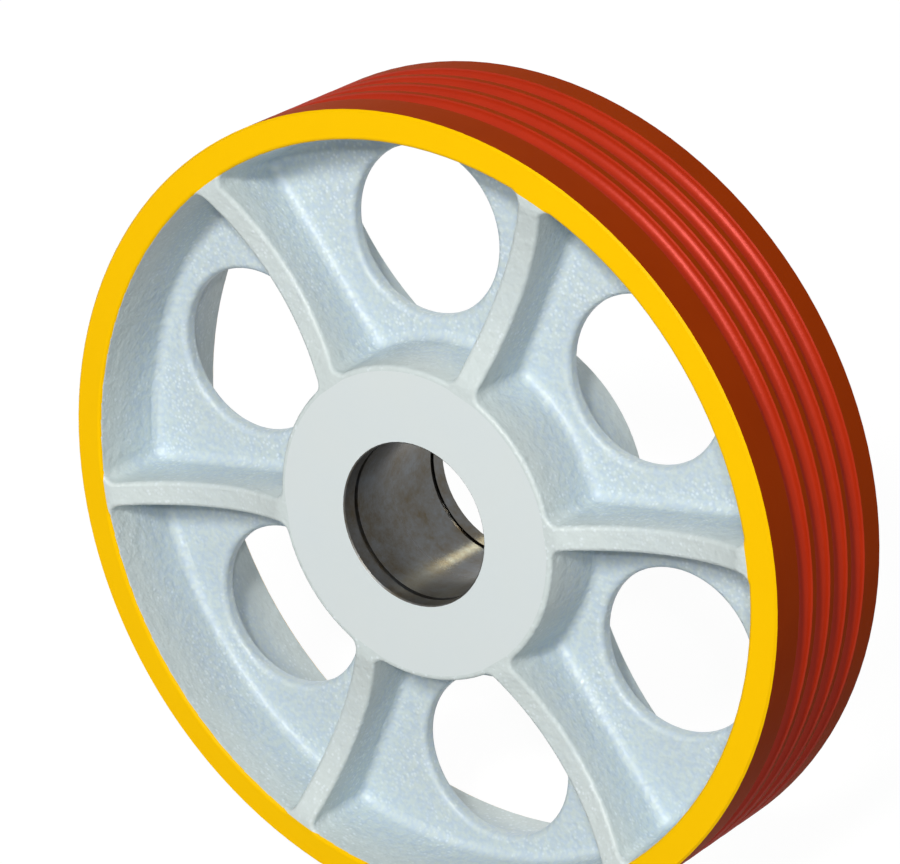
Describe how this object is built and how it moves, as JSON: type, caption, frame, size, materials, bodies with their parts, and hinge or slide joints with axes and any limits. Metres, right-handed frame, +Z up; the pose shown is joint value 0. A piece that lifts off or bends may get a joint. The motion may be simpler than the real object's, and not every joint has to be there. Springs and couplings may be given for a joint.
{
  "type": "wire rope sheave",
  "caption": "Cast iron rope wheel with grooved rim, ribbed web with round lightening holes, and a bored hub for rolling bearings.",
  "frame": {"origin": "on the wheel's axis, midway between the two faces of the rim", "axes": "+Y along the axis, from the front face towards the rear; +Z up; +X to the right seen from the front"},
  "size_m": [0.4, 0.09, 0.4],
  "materials": {
    "painted_casting": "painted casting, machined bore"
  },
  "bodies": {
    "root": {"sheave": "painted_casting"}
  },
  "joints": []
}
